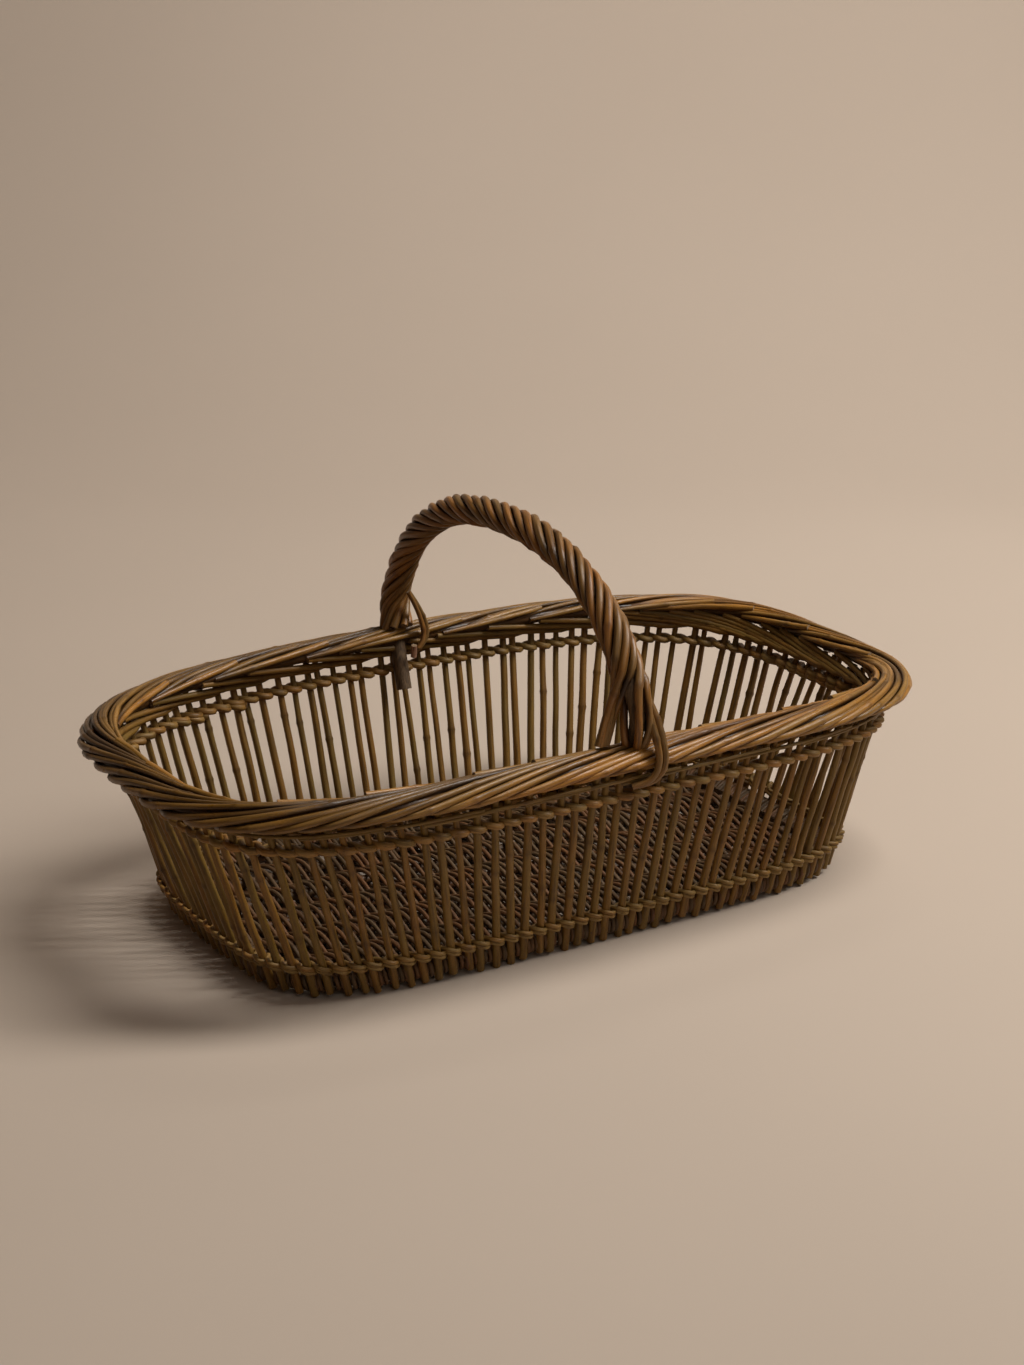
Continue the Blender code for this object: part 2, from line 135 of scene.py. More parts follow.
# %% A smooth line through guide points
def smooth_line(guides, step):
    """Each stretch is a cubic curve whose ends run the way that their neighbours lie."""
    points = [np.array(guide, dtype=float) for guide in guides]
    points = [2 * points[0] - points[1]] + points + [2 * points[-1] - points[-2]]
    line = []
    for before, first, second, after in zip(points, points[1:], points[2:], points[3:]):
        count = max(2, math.ceil(np.linalg.norm(second - first) / step))
        for number in range(count):
            t = number / count
            line.append(0.5 * (2 * first + (second - before) * t
                               + (2 * before - 5 * first + 4 * second - after) * t ** 2
                               + (3 * first - before - 3 * second + after) * t ** 3))
    line.append(points[-2])
    return np.array(line)


def run_along(line):
    return run_so_far(np.linalg.norm(np.diff(line, axis=0), axis=1))


def read_line(places, along, line):
    """The points at some lengths along a line."""
    return np.column_stack([np.interp(places, along, line[:, axis]) for axis in range(3)])


# %% Chance, and the places where a rod gets its points
luck = random.Random(7)
BUD_CLEAR = 0.0035
BUD_BEFORE = 0.0030
BUD_AFTER = 0.0026


def stray(most):
    """A random amount, either way."""
    return luck.uniform(-most, most)


def about(size, low, high):
    """A size that differs from rod to rod, between two shares of it."""
    return size * luck.uniform(low, high)


def rod_places(length, step, bud_places):
    """Even steps along a rod, and three places at each bud, which keep the others away."""
    places = set(np.linspace(0, length, max(2, math.ceil(length / step) + 1)))
    for place in bud_places:
        places = {other for other in places if abs(other - place) > BUD_CLEAR or other in (0, length)}
        places.update((place - BUD_BEFORE, place, place + BUD_AFTER))
    return np.array(sorted(place for place in places if 0 <= place <= length))


# %% One rod: taper, buds and small bends
BUD_ROOM_SHARES = (0.25, 0.75)
BUD_SWELL_SHARE = 0.20
BUD_SWELL_LENGTH = 0.0022
BUD_MARK_LENGTH = 0.0030


def willow_rod(line, butt, tip, buds=0, bend=0.0, step=0.008, tone=None):
    """Butt and tip are half the rod's thickness at its ends; it bends only at its buds."""
    line = np.asarray(line, dtype=float)
    along = run_along(line)
    length = along[-1]
    bud_places = [length * (number + luck.uniform(*BUD_ROOM_SHARES)) / buds for number in range(buds)]
    places = rod_places(length, step, bud_places)
    points = read_line(places, along, line)
    radius = np.interp(places, [0, length], [butt, tip])
    bud = np.zeros(len(places))
    shifts = [np.zeros(3)]
    for place in bud_places:
        radius += butt * BUD_SWELL_SHARE * np.exp(-((places - place) / BUD_SWELL_LENGTH) ** 2)
        bud += np.exp(-((places - place) / BUD_MARK_LENGTH) ** 2)
        shifts.append(np.array([stray(bend) for _ in range(3)]))
    shifts.append(np.zeros(3))
    points += read_line(places, [0.0, *bud_places, length], np.array(shifts))
    return {"points": points, "radius": radius, "bud": np.clip(bud, 0, 1),
            "along": places, "tone": luck.random() if tone is None else tone}


# %% [markdown]
# ## From points to a mesh
# Blender draws a round rod along a curve when the curve has a bevel. Many rods share one curve
# object, each as a spline of its own, and `convert` turns them all into one mesh. The Skin
# modifier could do it too, but a curve keeps every rod round and is quick. The mesh then gets
# attributes for its bark: where a point lies round and along its own rod, the rod's own tone,
# how near a bud is, and how far out of the grooves between rods it lies. A pattern built on these
# runs along every rod, however it turns. Where grooves are marked, they get painted shade and dust.

# %% Rods to one mesh piece
UNIT_RADIUS = 1.0


def grow(name, rods, sides=8):
    bpy.ops.object.select_all(action="DESELECT")
    bpy.ops.curve.primitive_nurbs_path_add(location=(0, 0, 0))
    piece = bpy.context.object
    curve = piece.data
    curve.splines.clear()
    curve.bevel_depth = UNIT_RADIUS
    curve.bevel_resolution = (sides - 4) // 2
    curve.use_fill_caps = True
    for rod in rods:
        count = len(rod["points"])
        spline = curve.splines.new("POLY")
        spline.points.add(count - 1)
        spline.points.foreach_set("co", np.column_stack((rod["points"], np.ones(count))).ravel())
        spline.points.foreach_set("radius", rod["radius"])
    bpy.ops.object.convert(target="MESH")
    piece = bpy.context.object
    piece.name = piece.data.name = name
    add_bark_marks(piece.data, rods, sides)
    print(f"{name}: {len(rods)} rods, {len(piece.data.polygons)} faces")
    return piece


# %% The attributes of the bark
CENTIMETRES = 100


def add_bark_marks(mesh, rods, sides):
    """Rings come in this order: both end caps of each rod, last rod first, then every rod's rings."""
    rings = [(rod, place) for rod in reversed(rods) for place in (-1, 0)]
    rings += [(rod, place) for rod in rods for place in range(len(rod["points"]))]
    found, expected = len(mesh.vertices), sides * len(rings)
    if found != expected:
        raise RuntimeError(f"{mesh.name}: {found} points, not {expected}")
    turns = math.tau * np.arange(sides) / sides
    bark = np.zeros((len(rings), sides, 3))
    bark[:, :, 0] = np.cos(turns)
    bark[:, :, 1] = np.sin(turns)
    bark[:, :, 2] = np.array([rod["along"][place] * CENTIMETRES for rod, place in rings])[:, None]
    mesh.attributes.new("bark", "FLOAT_VECTOR", "POINT").data.foreach_set("vector", bark.ravel())
    for name, values in (("tone", np.repeat([rod["tone"] for rod, _ in rings], sides)),
                         ("bud", np.repeat([rod["bud"][place] for rod, place in rings], sides)),
                         ("groove_shade_and_dust", np.ones(found))):
        mesh.attributes.new(name, "FLOAT", "POINT").data.foreach_set("value", values)


# %% Painted groove shade and dust, from how far out a point lies
def mesh_points(mesh):
    points = np.zeros(len(mesh.vertices) * 3)
    mesh.vertices.foreach_get("co", points)
    return points.reshape(-1, 3)


def paint_groove_shade_and_dust(mesh, distance, hollow, top):
    """0 down in the grooves between rods, where shade and dust are painted, and 1 on the open tops."""
    groove_shade_and_dust = np.clip((distance - hollow) / (top - hollow), 0, 1)
    mesh.attributes["groove_shade_and_dust"].data.foreach_set("value", groove_shade_and_dust)
    print(f"{mesh.name}: {groove_shade_and_dust.mean():.2f} worn on average")


# %% [markdown]
# ## The bark
# Unpeeled willow dries to a skin that is olive on one rod and orange-brown on the next. It is
# darker in patches, streaked along the rod, dotted with small pores, and rubbed grey in streaks
# by hands and years. Its grooves get painted shade and dust. One node group makes all of this
# from the four attributes, and each material gives it its own colours. A rod whose tone is below
# zero is darker and greyer, painted shade for the border's left end and back. Painted textures
# would need unwrapping, and noise on the rod's own attributes needs none.

# %% Small helpers for wiring nodes
def add_node(tree, kind, **settings):
    node = tree.nodes.new(kind)
    for name, value in settings.items():
        setattr(node, name, value)
    return node


def wire(tree, value, socket):
    """A plain value is set on a socket, and another node's output is linked to it."""
    if isinstance(value, bpy.types.NodeSocket):
        tree.links.new(value, socket)
    else:
        socket.default_value = value


def math_of(tree, operation, *values, clamped=False):
    node = add_node(tree, "ShaderNodeMath", operation=operation, use_clamp=clamped)
    for value, socket in zip(values, node.inputs):
        wire(tree, value, socket)
    return node.outputs[0]


# %% Noise, ranges and mixes
def noise_of(tree, vector, stretch, scale, detail):
    """Noise that is stretched along the rod."""
    sized = add_node(tree, "ShaderNodeVectorMath", operation="MULTIPLY")
    wire(tree, vector, sized.inputs[0])
    wire(tree, stretch, sized.inputs[1])
    noise = add_node(tree, "ShaderNodeTexNoise")
    wire(tree, sized.outputs[0], noise.inputs["Vector"])
    wire(tree, scale, noise.inputs["Scale"])
    wire(tree, detail, noise.inputs["Detail"])
    return noise.outputs["Fac"]


def spread(tree, value, low, high, to_low=0.0, to_high=1.0):
    node = add_node(tree, "ShaderNodeMapRange", clamp=True)
    for name, amount in (("Value", value), ("From Min", low), ("From Max", high),
                         ("To Min", to_low), ("To Max", to_high)):
        wire(tree, amount, node.inputs[name])
    return node.outputs["Result"]


def blend(tree, kind, share, first, second):
    """A colour mix has its share and two colours at inputs 0, 6 and 7, and its colour at output 2."""
    node = add_node(tree, "ShaderNodeMix", data_type="RGBA", blend_type=kind)
    for value, place in ((share, 0), (first, 6), (second, 7)):
        wire(tree, value, node.inputs[place])
    return node.outputs[2]


# %% The bark group's inputs and outputs
COLOUR, NUMBER, VECTOR = "NodeSocketColor", "NodeSocketFloat", "NodeSocketVector"
bark_group = bpy.data.node_groups.new("willow_bark", "ShaderNodeTree")
for name, kind in (("Bark", VECTOR), ("Tone", NUMBER), ("Bud", NUMBER), ("Groove_shade_and_dust", NUMBER),
                   ("Olive", COLOUR), ("Orange", COLOUR), ("Dark", COLOUR), ("Grey", COLOUR),
                   ("Grey share", NUMBER), ("Gloss", NUMBER)):
    bark_group.interface.new_socket(name, in_out="INPUT", socket_type=kind)
for name, kind in (("Color", COLOUR), ("Roughness", NUMBER), ("Height", NUMBER)):
    bark_group.interface.new_socket(name, in_out="OUTPUT", socket_type=kind)
given = add_node(bark_group, "NodeGroupInput").outputs
result = add_node(bark_group, "NodeGroupOutput").inputs
print("bark group:", len(given) - 1, "inputs,", len(result) - 1, "outputs")

# %% Patches, streaks and pores, in another part of the noise for each rod
NOISE_APART = 173.0
away = math_of(bark_group, "MULTIPLY", given["Tone"], NOISE_APART)
apart = add_node(bark_group, "ShaderNodeCombineXYZ")
wire(bark_group, away, apart.inputs["X"])
wire(bark_group, away, apart.inputs["Z"])
moved = add_node(bark_group, "ShaderNodeVectorMath", operation="ADD")
wire(bark_group, given["Bark"], moved.inputs[0])
wire(bark_group, apart.outputs[0], moved.inputs[1])
patches = noise_of(bark_group, moved.outputs[0], (0.25, 0.25, 0.40), scale=1.0, detail=3.0)
streaks = noise_of(bark_group, moved.outputs[0], (1.5, 1.5, 0.30), scale=1.0, detail=4.0)
pores = noise_of(bark_group, moved.outputs[0], (2.2, 2.2, 5.0), scale=1.6, detail=2.0)
print("bark group:", len(bark_group.nodes), "nodes before its colours")

# %% The colours of the bark
PORE_TINT = (0.25, 0.18, 0.12, 1.0)
BUD_TINT = (0.35, 0.27, 0.20, 1.0)
# Painted shade and dust, darkening the grooves between rods.
GROOVE_SHADE_AND_DUST_TINT = (0.16, 0.11, 0.08, 1.0)
# Painted shade, darkening rods whose tone is below zero, at the border's left end and back.
LEFT_BACK_SHADE_TINT = (0.48, 0.45, 0.42, 1.0)
PATCH_PULL = 0.75
rod_hue = spread(bark_group, given["Tone"], 0.15, 0.95, -0.40, 0.70)
hue = math_of(bark_group, "MULTIPLY_ADD", spread(bark_group, patches, 0.35, 0.68), PATCH_PULL, rod_hue,
              clamped=True)
colour = blend(bark_group, "MIX", hue, given["Olive"], given["Orange"])
colour = blend(bark_group, "MIX", spread(bark_group, streaks, 0.50, 0.68, 0.0, 0.60), colour, given["Dark"])
grey_part = math_of(bark_group, "MULTIPLY", spread(bark_group, streaks, 0.52, 0.36), given["Grey share"])
colour = blend(bark_group, "MIX", grey_part, colour, given["Grey"])
for mask, tint in ((spread(bark_group, pores, 0.60, 0.70, 0.0, 0.55), PORE_TINT),
                   (spread(bark_group, given["Bud"], 0.1, 1.0, 0.0, 0.55), BUD_TINT),
                   # Painted shade and dust in the grooves:
                   (spread(bark_group, given["Groove_shade_and_dust"], 0.0, 0.65, 0.90, 0.0), GROOVE_SHADE_AND_DUST_TINT),
                   # Painted shade where the tone is below zero:
                   (spread(bark_group, given["Tone"], 0.0, -1.0), LEFT_BACK_SHADE_TINT)):
    colour = blend(bark_group, "MULTIPLY", mask, colour, tint)
wire(bark_group, colour, result["Color"])

# %% The roughness and the height of the bark
STREAK_RELIEF = 0.8
PORE_RELIEF = -0.35
rough = math_of(bark_group, "SUBTRACT", spread(bark_group, patches, 0.3, 0.7, 0.78, 0.60), given["Gloss"],
                clamped=True)
wire(bark_group, rough, result["Roughness"])
relief = math_of(bark_group, "MULTIPLY_ADD", streaks, STREAK_RELIEF,
                 spread(bark_group, pores, 0.58, 0.72, 0.0, PORE_RELIEF))
wire(bark_group, relief, result["Height"])
print("bark group:", len(bark_group.nodes), "nodes")


# %% A new material, and a bump for it
def new_material(name):
    material = bpy.data.materials.new(name)
    material.use_nodes = True
    return material, material.node_tree, material.node_tree.nodes["Principled BSDF"]


def add_bump(tree, shader, height, strength, distance):
    bump = add_node(tree, "ShaderNodeBump")
    wire(tree, height, bump.inputs["Height"])
    wire(tree, strength, bump.inputs["Strength"])
    wire(tree, distance, bump.inputs["Distance"])
    wire(tree, bump.outputs["Normal"], shader.inputs["Normal"])


# %% A bark material
def bark_material(name, olive, orange, dark, grey, grey_share, gloss):
    material, tree, shader = new_material(name)
    shader.inputs["Specular IOR Level"].default_value = 0.38
    group = add_node(tree, "ShaderNodeGroup", node_tree=bark_group)
    for mark, output in (("bark", "Vector"), ("tone", "Fac"), ("bud", "Fac"), ("groove_shade_and_dust", "Fac")):
        reader = add_node(tree, "ShaderNodeAttribute", attribute_name=mark)
        wire(tree, reader.outputs[output], group.inputs[mark.capitalize()])
    for socket, value in (("Olive", (*olive, 1.0)), ("Orange", (*orange, 1.0)), ("Dark", (*dark, 1.0)),
                          ("Grey", (*grey, 1.0)), ("Grey share", grey_share), ("Gloss", gloss)):
        wire(tree, value, group.inputs[socket])
    wire(tree, group.outputs["Color"], shader.inputs["Base Color"])
    wire(tree, group.outputs["Roughness"], shader.inputs["Roughness"])
    add_bump(tree, shader, group.outputs["Height"], strength=0.55, distance=0.0006)
    print(f"{name}: {grey_share:.0%} grey, gloss {gloss}")
    return material


# %% The five barks
stake_bark = bark_material(
    "stake_bark", olive=(0.172, 0.094, 0.014), orange=(0.224, 0.102, 0.014),
    dark=(0.046, 0.021, 0.004), grey=(0.240, 0.155, 0.042), grey_share=0.24, gloss=0.18)
# The rows' bark is lighter than the stakes': painted light, for the upper row in the border's shade.
row_bark = bark_material(
    "row_bark", olive=(0.230, 0.134, 0.032), orange=(0.310, 0.140, 0.026),
    dark=(0.056, 0.025, 0.006), grey=(0.290, 0.190, 0.080), grey_share=0.25, gloss=0.18)
border_bark = bark_material(
    "border_bark", olive=(0.242, 0.120, 0.020), orange=(0.368, 0.156, 0.022),
    dark=(0.046, 0.019, 0.004), grey=(0.400, 0.225, 0.080), grey_share=0.30, gloss=0.36)
base_bark = bark_material(
    "base_bark", olive=(0.094, 0.054, 0.021), orange=(0.150, 0.060, 0.017),
    dark=(0.026, 0.012, 0.006), grey=(0.112, 0.073, 0.038), grey_share=0.18, gloss=0.14)
handle_bark = bark_material(
    "handle_bark", olive=(0.175, 0.090, 0.022), orange=(0.300, 0.120, 0.022),
    dark=(0.034, 0.013, 0.004), grey=(0.260, 0.156, 0.072), grey_share=0.26, gloss=0.32)

# %% [markdown]
# ## Cut ends and bare wood
# Where a rod was cut, the pale wood under the bark shows, a little grey from dust. The handle's
# core and its peg have lost their bark. All three are simpler than bark: a wood colour with
# fine streaks. Rod attributes could steer it too, but so little of it shows that plain Object
# coordinates are enough.

# %% Bare wood
def wood_material(name, pale, dark, stretch):
    material, tree, shader = new_material(name)
    place = add_node(tree, "ShaderNodeTexCoord").outputs["Object"]
    fine = noise_of(tree, place, stretch, scale=1.0, detail=4.0)
    colour = blend(tree, "MIX", spread(tree, fine, 0.35, 0.65), (*pale, 1.0), (*dark, 1.0))
    wire(tree, colour, shader.inputs["Base Color"])
    wire(tree, spread(tree, fine, 0.3, 0.7, 0.62, 0.80), shader.inputs["Roughness"])
    add_bump(tree, shader, fine, strength=0.5, distance=0.0005)
    print(f"{name}: {len(tree.nodes)} nodes")
    return material


EVEN_GRAIN = (900, 900, 900)
LONG_GRAIN = (700, 700, 60)
cut_wood = wood_material("cut_wood", (0.300, 0.200, 0.110), (0.120, 0.070, 0.036), EVEN_GRAIN)
core_wood = wood_material("core_wood", (0.150, 0.085, 0.036), (0.050, 0.028, 0.012), LONG_GRAIN)
peg_wood = wood_material("peg_wood", (0.480, 0.250, 0.150), (0.200, 0.090, 0.045), LONG_GRAIN)


# %% Give a piece its materials and its body, and hide the CAD solids that it stands for
def finish_piece(piece, bark, slot, *nodes):
    """Only the rods' cut ends are made of triangles, so these get the cut wood."""
    mesh = piece.data
    mesh.materials.clear()
    mesh.materials.append(bark)
    mesh.materials.append(cut_wood)
    corners = np.zeros(len(mesh.polygons), dtype=np.int32)
    mesh.polygons.foreach_get("loop_total", corners)
    mesh.polygons.foreach_set("material_index", (corners == 3).astype(np.int32))
    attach(piece, "root")
    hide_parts(*nodes)


# %% [markdown]
# ## The stakes
# 120 rods, a little thinner than a pencil, stand round the wall. One stake could be copied round
# the ring, but no two real ones are alike: each is a little crooked, leans a little to one side
# on its way up, and swells where its buds were. So each is drawn by itself. They stay in the 24
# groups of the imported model, so that each group still stands for its own solid.

# %% One stake
STAKE_RADIUS = 0.00275
STAKE_HEIGHTS = (0.012, LOWER_ROW, 0.050, 0.080, 0.105, UPPER_ROW, 0.140, 0.1500)
FOOT_HEIGHTS = (0.0010, 0.0050)
SWAY = 0.0007
SWAY_HEIGHTS = (0.04, 0.12)
FOOT_STRAY_SHARE = 0.0011
TOP_STRAY_SHARE = 0.0017
LEAN_SHARE = 0.0050
STRAIGHT_LEAN_SHARE = 0.0015
STRAIGHT_RING_SHARES = (0.03, 0.25)


def stake_lean(share):
    """On the right half of the back the stakes stand almost straight."""
    straight = STRAIGHT_RING_SHARES[0] < share < STRAIGHT_RING_SHARES[1]
    return STRAIGHT_LEAN_SHARE if straight else LEAN_SHARE


def stake_rod(number):
    share = number / STAKES + stray(FOOT_STRAY_SHARE)
    top_share = share - stake_lean(share) + stray(TOP_STRAY_SHARE)
    guides = []
    for height in (luck.uniform(*FOOT_HEIGHTS), *STAKE_HEIGHTS):
        sway = stray(SWAY) if SWAY_HEIGHTS[0] < height < SWAY_HEIGHTS[1] else 0.0
        guides.append(wall_point(share, top_share, height, sway))
    thick = about(STAKE_RADIUS, low=0.92, high=1.12)
    return willow_rod(smooth_line(guides, step=0.01), butt=thick * 1.08, tip=thick * 0.90,
                      buds=luck.choice((0, 0, 1, 1, 2)), bend=0.0012, step=0.011)


# %% The 120 stakes, in their groups
STAKE_GROUPS = 24
PER_GROUP = STAKES // STAKE_GROUPS
for group in range(STAKE_GROUPS):
    rods = [stake_rod(number) for number in range(group * PER_GROUP, (group + 1) * PER_GROUP)]
    piece = grow(f"willow_stakes_{group + 1:02d}", rods)
    finish_piece(piece, stake_bark, "stake_bark", f"stakes_{group + 1:02d}")

# %% [markdown]
# ## The twisted rows
# Two rods go round the wall together in the upper row, and two pairs of thin ones in the lower.
# One rod passes outside a stake while the other passes inside, and between two stakes they
# cross. A crossing could be modelled once and copied, but the ring bends differently at each
# stake. So each rod is a flat helix whose turn is two stakes long. Where rods ran out in the
# upper row, new ones lie over the old for a few stakes, and their butts stand out of the row.

# %% One rod of a pair, twisted round the stakes
STEPS_PER_STAKE = 8
SQUARE_TWIST = 0.75
TOUCH_SHARE = 0.92


def twist_line(first, last, phase, height, reach, slope, hang=0.0):
    """The rod runs from one stake to another. Its butt hangs below the row, or stands above it if
    hang is negative."""
    line = []
    for part in parts(int((last - first) * STEPS_PER_STAKE)):
        stake = first + (last - first) * part
        turn = math.pi * (stake + phase)
        share = stake / STAKES
        lean = stake_lean(share % 1.0) if height == UPPER_ROW else 0
        side = math.copysign(abs(math.cos(turn)) ** SQUARE_TWIST, math.cos(turn))
        up = -math.sin(turn) * reach * slope - hang * (1 - part)
        line.append(tuple(wall_point(share, share - lean, height + up,
                                     side * (STAKE_RADIUS + reach * TOUCH_SHARE))))
    return line


# %% A whole row
ROW_STEP = 0.0020
STAKES_PER_BUD = 7
DOUBLE_REACH = 1.5


def twisted_row(name, height, thick, slope, joins, nodes, rises=(0.0,), extra=()):
    """Joins are the stakes where rods end; rises lay rods over each other; extra are the new butts."""
    rods = []
    reach = thick * DOUBLE_REACH if len(rises) > 1 else thick
    for phase in (0, 1):
        for first, last in zip(joins, joins[1:]):
            for rise in rises:
                line = twist_line(first, last, phase, height + rise, reach, slope)
                rods.append(willow_rod(line, butt=about(thick, low=0.98, high=1.10), tip=thick * 0.92,
                                       buds=int((last - first) / STAKES_PER_BUD), step=ROW_STEP))
    for first, last, hang in extra:
        for phase in (0, 1):
            line = twist_line(first, last, phase, height, thick, slope, hang)
            rods.append(willow_rod(line, butt=thick * 1.08, tip=thick * 1.02, buds=1, step=ROW_STEP))
    finish_piece(grow(name, rods), row_bark, "row_bark", *nodes)


# %% The lower row, of four thin rods, and the upper row, of two thicker ones
twisted_row("lower_fitch", LOWER_ROW, thick=0.00165, slope=0.60, joins=(0, 30.4, 61.5, 90.6, STAKES),
            nodes=("lower_fitch_outer", "lower_fitch_inner"), rises=(-0.0014, 0.0014))
twisted_row("upper_fitch", UPPER_ROW, thick=0.00275, slope=0.42, joins=(0, 27.5, 52.5, 84.5, STAKES),
            nodes=("upper_fitch_outer", "upper_fitch_inner"),
            extra=((41.3, 43.7, 0.0042), (44.2, 47.2, 0.0046), (-3.5, 5.5, -0.0052)))

# %% [markdown]
# ## The rolled border
# The stakes' long ends roll over each other in pairs, which show as sixty rods. Each comes up
# from under the outer edge in a short hook, lies along the border for about 220 mm while it
# climbs over the top, and ends near the inner edge. Eight of them lie side by side at any place.
# Bent one by one in edit mode they would take days, and a twisted tube would look like a rope,
# so each is a line on the roll's surface. The roll's section is a flat egg, and the rods are
# spaced by the length along that egg. Thinner rods are tucked in along the inner edge.

# %% Where a rod lies on the roll
ROLL_ACROSS = 0.0175
ROLL_UP = 0.0140
ROLL_DROP = 0.0080
ROLL_SPARE = 0.0013
EGG_ACROSS = 0.0145
EGG_UP = 0.0110
EGG_DROP = 0.0050
turns = np.radians(np.linspace(-170, 200, 371))
egg_y = EGG_ACROSS * np.cos(turns)
egg_z = np.where(turns > 0, EGG_UP, EGG_DROP) * np.sin(turns)
egg_along = run_so_far(np.hypot(np.diff(egg_y), np.diff(egg_z)))
OUTER_EDGE = math.radians(-34)
INNER_EDGE = math.radians(176)
outer_run, inner_run = np.interp((OUTER_EDGE, INNER_EDGE), turns, egg_along)
print(f"roll, outer lower edge to inner edge: {(inner_run - outer_run) * 1000:.1f} mm round")


def turn_at(share_over):
    """The turn round the section, from 0 at the outer lower edge to 1 at the inner edge."""
    return np.interp(outer_run + (inner_run - outer_run) * share_over, egg_along, turns)


def roll_point(share, turn, thick, lift=0.0):
    """Lift moves a rod out of the egg or, below zero, into it. The egg leaves a little spare for that."""
    place = border_ring.at(share)
    outward = border_ring.outward(share)
    up = (ROLL_UP if turn > 0 else ROLL_DROP) - thick - ROLL_SPARE + lift
    place += outward * ((ROLL_ACROSS - thick - ROLL_SPARE + lift) * math.cos(turn))
    place.z = BORDER + dip(place.x, 1) + up * math.sin(turn)
    return place


# %% How a border rod lies: its hook, its tip and its tone
BORDER_RADIUS = 0.00270
HOOK = ((-128, -0.0044, -0.0026), (-104, -0.0036, -0.0004), (-80, -0.0024, 0.0004), (-54, -0.0008, 0.0006))
TIP_PROUD = 0.0013
TIP_SINK = 0.0062
FRONT_TIPS_Y = -0.12
LEFT_X, FAR_LEFT_X = -0.14, -0.20
BACK_Y, FAR_BACK_Y = 0.05, 0.10
# How much painted shade darkens the rods at the left end and along the back.
LEFT_SHADE, BACK_SHADE = 0.65, 0.30


def hook_points(start, thick):
    """Each point of the hook has its turn in degrees, its share of the ring ahead, and its lift."""
    return [roll_point(start + ahead, math.radians(turn), thick, lift) for turn, ahead, lift in HOOK]


def tip_lift(share):
    """Along the front the tips lie proud, and elsewhere they sink into the roll."""
    return TIP_PROUD - TIP_SINK * clamp((border_ring.at(share).y - FRONT_TIPS_Y) / 0.08)


def border_tone(start):
    """Towards the left end and along the back the rods are more alike, and painted shade darkens them."""
    foot = border_ring.at(start)
    tone = luck.random() * (0.1 if foot.x < FAR_LEFT_X else 0.4 if foot.y > FAR_BACK_Y else 1.0)
    at_left = clamp((LEFT_X - foot.x) / 0.10)
    at_back = clamp((foot.y - BACK_Y) / 0.08)
    return tone - (LEFT_SHADE * at_left + BACK_SHADE * at_back)


# %% The rods of the border
BORDER_RODS = 60
BORDER_REACH = 0.240
REACH_LOST_AT_ENDS = 0.030
REACH_STRAYS = (-0.022, 0.024)
START_STRAY_SHARE = 0.0016
STOP_SHARES = (0.89, 0.98)
PATH_STEPS = 30
EARLY_CLIMB = 0.12
LATE_CLIMB = 0.028
PROUD = 0.0005
BUTT_LIFT = 0.0020
SUNK = 0.0007
RIPPLE = 0.0003
CLIMB_RIPPLE = 0.007
TIP_FROM_SHARE = 0.82
MOST_LIFT = 0.0004
AFTER_HOOK_SHARE = 0.0022
PHASES = (0, 6.28)


def border_rod(number):
    start = number / BORDER_RODS + stray(START_STRAY_SHARE)
    at_end = (border_ring.at(start).x / border_ring.half_length) ** 4
    reach = BORDER_REACH - REACH_LOST_AT_ENDS * at_end + luck.uniform(*REACH_STRAYS)
    reach /= border_ring.length
    thick = about(BORDER_RADIUS, low=0.90, high=1.12)
    thin = about(thick, low=0.72, high=0.82)
    late = stray(LATE_CLIMB)
    sway = luck.uniform(*PHASES)
    proud = stray(PROUD)
    stop = luck.uniform(*STOP_SHARES)
    rise = tip_lift(start + reach * stop)
    guides = hook_points(start, thick)
    for run in parts(PATH_STEPS)[1:]:
        part = run * stop
        climb = ((1 + EARLY_CLIMB) * part - EARLY_CLIMB * part ** 2 + late * math.sin(math.pi * part)
                 + CLIMB_RIPPLE * math.sin(13 * part + sway))
        lift = BUTT_LIFT * (1 - part) ** 6 - SUNK + proud + RIPPLE * math.sin(9 * part + sway)
        lift += rise * max(0.0, run - TIP_FROM_SHARE) / (1 - TIP_FROM_SHARE)
        guides.append(roll_point(start + AFTER_HOOK_SHARE + reach * part, turn_at(climb),
                                 thick + (thin - thick) * part, min(lift, MOST_LIFT)))
    tone = border_tone(start)
    return willow_rod(smooth_line(guides, step=0.006), butt=thick, tip=thin,
                      buds=luck.choice((1, 2, 3)), bend=0.0005, step=0.0075, tone=tone)


border_rods = [border_rod(number) for number in range(BORDER_RODS)]

# %% The thinner rods along the inner edge
EDGE_RODS = 24
EDGE_RADIUS = 0.0026
EDGE_STEPS = 8
EDGE_TURN = 118
EDGE_CLIMB = 46
EDGE_LIFT = 0.0011
EDGE_SINK = 0.0030


def edge_rod(number):
    """A thinner rod, tucked in along the inner edge; its cut butt lies open on the top."""
    start = number / EDGE_RODS + stray(0.010)
    reach = luck.uniform(0.070, 0.120) / border_ring.length
    thick = about(EDGE_RADIUS, low=0.90, high=1.10)
    guides = []
    for part in parts(EDGE_STEPS):
        turn = math.radians(EDGE_TURN + EDGE_CLIMB * part ** 0.7)
        guides.append(roll_point(start + reach * part, turn, thick, EDGE_LIFT - EDGE_SINK * part ** 2))
    return willow_rod(smooth_line(guides, step=0.006), butt=thick, tip=thick * 0.8, buds=1,
                      bend=0.0004, step=0.0075)


border_rods += [edge_rod(number) for number in range(EDGE_RODS)]

